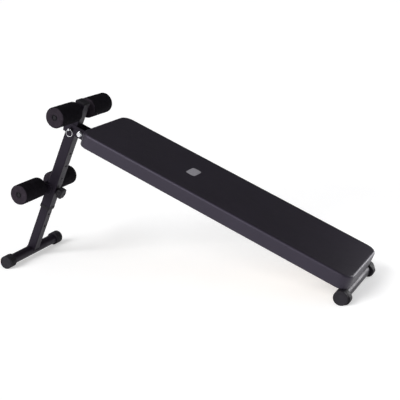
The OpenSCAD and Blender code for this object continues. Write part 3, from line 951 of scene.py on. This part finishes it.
def make_axle_plugs(node, axle):
    """Plastic plugs in the ends of an axle, with a thin rim, a groove and a raised middle."""
    low, high = span(node, LEG)
    axle_low, axle_high = span(axle, LEG)
    outer = (axle_high.z - axle_low.z) / 2
    inner, rim = outer - 1.5 * MM, outer - 0.5 * MM
    middle = (low + high) / 2
    depth = 12 * MM
    length = depth + (high.y - low.y) / 2 - (axle_high.y - axle_low.y) / 2
    groove = depth - 1 * MM
    corners = [
        (0, 0, 0), (inner, 0, 0.5 * MM), (inner, depth, 0.2 * MM), (rim, depth, 0.2 * MM),
        (rim, length, 0.5 * MM), (outer - 1.8 * MM, length, 0.4 * MM),
        (outer - 2.2 * MM, groove, 0.3 * MM), (outer - 3.6 * MM, groove, 0.3 * MM),
        (outer - 4.2 * MM, length, 0.8 * MM), (0, length - 0.3 * MM, 0),
    ]
    verts, faces = lathe(rounded(corners, 3), 48)
    parts = []
    for side in (-1, 1):
        end = high.y if side > 0 else low.y
        placed = sideways(LEG, Vector((middle.x, end - side * length, middle.z)), side)
        parts.append(make_piece(f"{node}_{side}", verts, faces, placed, MATERIALS["plastic"]))
    finish_piece(join(node + "_moulded", parts), "leg_upper", "black_plastic", node)


# ---------------------------------------------------------------- weld beads

def bead(name, path, matrix, radius, closed=False):
    """Rippled weld bead along a path in a local frame."""
    step = 0.8 * MM
    points = resample(path, step, closed)
    pitch = 3.2

    def radius_at(i):
        end = 1.0 if closed else min(1.0, 0.5 + min(i, len(points) - 1 - i) / 4)
        ripple = 0.14 * math.sin(2 * math.pi * i / pitch) + 0.08 * math.sin(i * 0.73)
        return radius * end * (1 + ripple)

    verts, faces = sweep(points, radius_at, 10, closed)
    return make_piece(name, verts, faces, matrix, MATERIALS["steel"])


def saddle(half, corner, round_r):
    """Path where a square tube with rounded corners stands on a round one."""
    outline = oblong(half, half, corner, 5)
    return [Vector((p.x, p.y, math.sqrt(max(round_r ** 2 - p.x ** 2, 0.0)))) for p in outline]


def make_welds():
    foot_r = span("front_foot_tube", LEG)[1].z
    half_inner = span("leg_inner_tube", LEG)[1].y
    path = saddle(half_inner, 3 * MM, foot_r)
    weld = bead("front_foot_weld", path, LEG, 2.4 * MM, True)
    finish_piece(weld, "leg_lower", "frame_steel")

    foot = centre_in("rear_foot_tube", BEAM)
    half_beam = span("main_beam", BEAM)[1].y
    parts = []
    for side in (-1, 1):
        path = arc((foot.x, side * half_beam, foot.z), foot_r, 95, 245, 40)
        parts.append(bead("rear", path, BEAM, 2.2 * MM))
    under = foot.x - math.sqrt(foot_r ** 2 - (half_beam + foot.z) ** 2)
    for x, z in ((foot.x + 0.5 * MM, half_beam - 2.5 * MM), (under, -half_beam)):
        path = [Vector((x, -half_beam, z)), Vector((x, half_beam, z))]
        parts.append(bead("rear", path, BEAM, 2.2 * MM))
    plates_low, plates_high = span("pivot_bracket", BEAM)
    rear = plates_high.x
    for side in (-1, 1):
        y = side * half_beam
        path = [Vector((rear, y, plates_low.z + 2 * MM)), Vector((rear, y, half_beam - 5 * MM))]
        parts.append(bead("cheek", path, BEAM, 1.8 * MM))
        low_edge = plates_low.z - 0.3 * MM
        path = [Vector((40 * MM, y, low_edge)), Vector((rear - 6 * MM, y, low_edge))]
        parts.append(bead("cheek", path, BEAM, 1.5 * MM))
    for x in cross_plate_places():
        for end in (-1, 1):
            edge = x + end * 20.3 * MM
            path = [Vector((edge, -half_beam + 4 * MM, half_beam + 0.4 * MM)),
                    Vector((edge, half_beam - 4 * MM, half_beam + 0.4 * MM))]
            parts.append(bead("plate", path, BEAM, 1.3 * MM))
    finish_piece(join("beam_welds", parts), "bench", "frame_steel")

    parts = []
    leg_half = span("leg_outer_tube", LEG)[1].y
    tab_thickness = 3 * MM
    axles = (("upper_axle", leg_half, 0.9 * MM), ("lower_axle", leg_half + tab_thickness, 1.8 * MM))
    for node, face, size in axles:
        low, high = span(node, LEG)
        middle, axle_r = (low + high) / 2, (high.z - low.z) / 2
        for side in (-1, 1):
            path = arc((middle.x, side * face, middle.z), axle_r, 0, 354, 59)
            parts.append(bead("axle", path, LEG, size, True))
    low, high = span("lower_axle_bracket", LEG)
    root = 12 * MM
    for side in (-1, 1):
        y = side * (leg_half + 0.3 * MM)
        path = arc((high.x - root, y, high.z - root), root, 105, 0, 12)
        path += arc((high.x - root, y, low.z + root), root, 0, -95, 12)
        parts.append(bead("tab", path, LEG, 1.6 * MM))
    boss = span("knob_boss", KNOB)[1].x
    parts.append(bead("boss", arc((0, 0, 0), boss, 0, 354, 59, (0, 1)), KNOB, 1.4 * MM, True))
    finish_piece(join("leg_welds", parts), "leg_upper", "frame_steel")


def cross_plate_places():
    """Places of the cross plates along the beam, which share one node."""
    low, high = span("pad_cross_plates", BEAM)
    return [low.x + 20 * MM, (low.x + high.x) / 2, high.x - 20 * MM]


# ---------------------------------------------------------------- staples and patch

def make_staples():
    """Staples that hold the hem to the board, set square to the pad's edge."""
    inset = 17 * MM
    crown, wire, leg = 10 * MM, 0.55 * MM, 1.2 * MM
    spacing = 46 * MM
    below = PAD_LOW.z - VINYL_T
    straight = PAD_HIGH.x - PAD_LOW.x - 2 * PAD_CORNER
    half_end = PAD_HIGH.y - PAD_CORNER
    leg_clearance = 32 * MM
    spots = []
    for side in (-1, 1):
        count = round(straight / spacing)
        along = Vector((1, 0.35 * side, 0)).normalized()
        for k in range(count + 1):
            x = PAD_LOW.x + PAD_CORNER + k * straight / count
            spots.append((Vector((x, side * (PAD_HIGH.y - inset), below)), along))
        count = round(2 * half_end / spacing)
        x = PAD_HIGH.x - inset if side > 0 else PAD_LOW.x + inset
        along = Vector((0.3, 1, 0)).normalized()
        for k in range(1, count):
            y = -half_end + 2 * half_end * k / count
            if abs(y) > leg_clearance or side > 0:
                spots.append((Vector((x, y, below)), along))
    verts, faces = [], []
    for place, along in spots:
        half = along * crown / 2
        up = Vector((0, 0, leg))
        path = [place - half + up, place - half - up * 0.2, place - half * 0.9 - up * 0.42,
                place + half * 0.9 - up * 0.42, place + half - up * 0.2, place + half + up]
        more_verts, more_faces = sweep(path, lambda i: wire, 8)
        faces += [[v + len(verts) for v in face] for face in more_faces]
        verts += more_verts
    piece = make_piece("pad_staples", verts, faces, BEAM, MATERIALS["zinc"])
    finish_piece(piece, "bench", "zinc_steel")


def make_patch(pad):
    """Small blank oblong patch pressed on the top of the pad; it carries no mark."""
    length, width, thickness = 36 * MM, 62 * MM, 0.5 * MM
    corner, steps = 9 * MM, 6
    place = Vector((PAD_LOW.x + 0.368 * (PAD_HIGH.x - PAD_LOW.x), -4 * MM))
    half_x, half_y = length / 2, width / 2
    outline = oblong(half_x, half_y, corner, steps)
    graph = bpy.context.evaluated_depsgraph_get()
    surface = pad.evaluated_get(graph)
    into_pad = pad.matrix_world.inverted() @ BEAM
    down = into_pad.to_3x3() @ Vector((0, 0, -1))

    def on_pad(point, lift):
        start = into_pad @ Vector((place.x + point.x, place.y + point.y, PAD_HIGH.z + 0.03))
        hit, spot, _, _ = surface.ray_cast(start, down)
        height = (BEAM.inverted() @ (pad.matrix_world @ spot)).z if hit else PAD_HIGH.z
        return Vector((place.x + point.x, place.y + point.y, height + lift))

    rings = [(1.0, -0.3 * MM), (1.0, 0.3 * thickness), (0.975, thickness)]
    rings += [(0.9 - 0.1 * k, thickness) for k in range(9)]
    verts = [on_pad(p * scale, lift) for scale, lift in rings for p in outline]
    count = len(outline)
    faces = []
    for ring in range(len(rings) - 1):
        first = ring * count
        for k in range(count):
            n = (k + 1) % count
            faces.append([first + k, first + n, first + count + n, first + count + k])
    faces.append([(len(rings) - 1) * count + k for k in range(count)])
    faces.append(list(range(count)))
    piece = make_piece("pad_patch", verts, faces, BEAM, MATERIALS["print"])
    finish_piece(piece, "bench", "pad_vinyl")


# ---------------------------------------------------------------- the whole

dress_cad_nodes()
make_camera()
make_floor()
make_light()
pad = make_pad()
make_patch(pad)
make_staples()
for level in ("upper", "lower"):
    for hand in ("left", "right"):
        make_roller(f"roller_{level}_{hand}", f"{level}_{hand}_roller")
    make_axle_plugs(f"{level}_axle_plugs", f"{level}_axle")
for hand, side in (("left", 1), ("right", -1)):
    make_foot_cap(f"front_foot_cap_{hand}", "leg_lower", LEG, side)
    make_foot_cap(f"rear_foot_cap_{hand}", "bench", Matrix.Identity(4), side)
make_knob()
make_bolt()
make_nut()
make_ring()
make_welds()
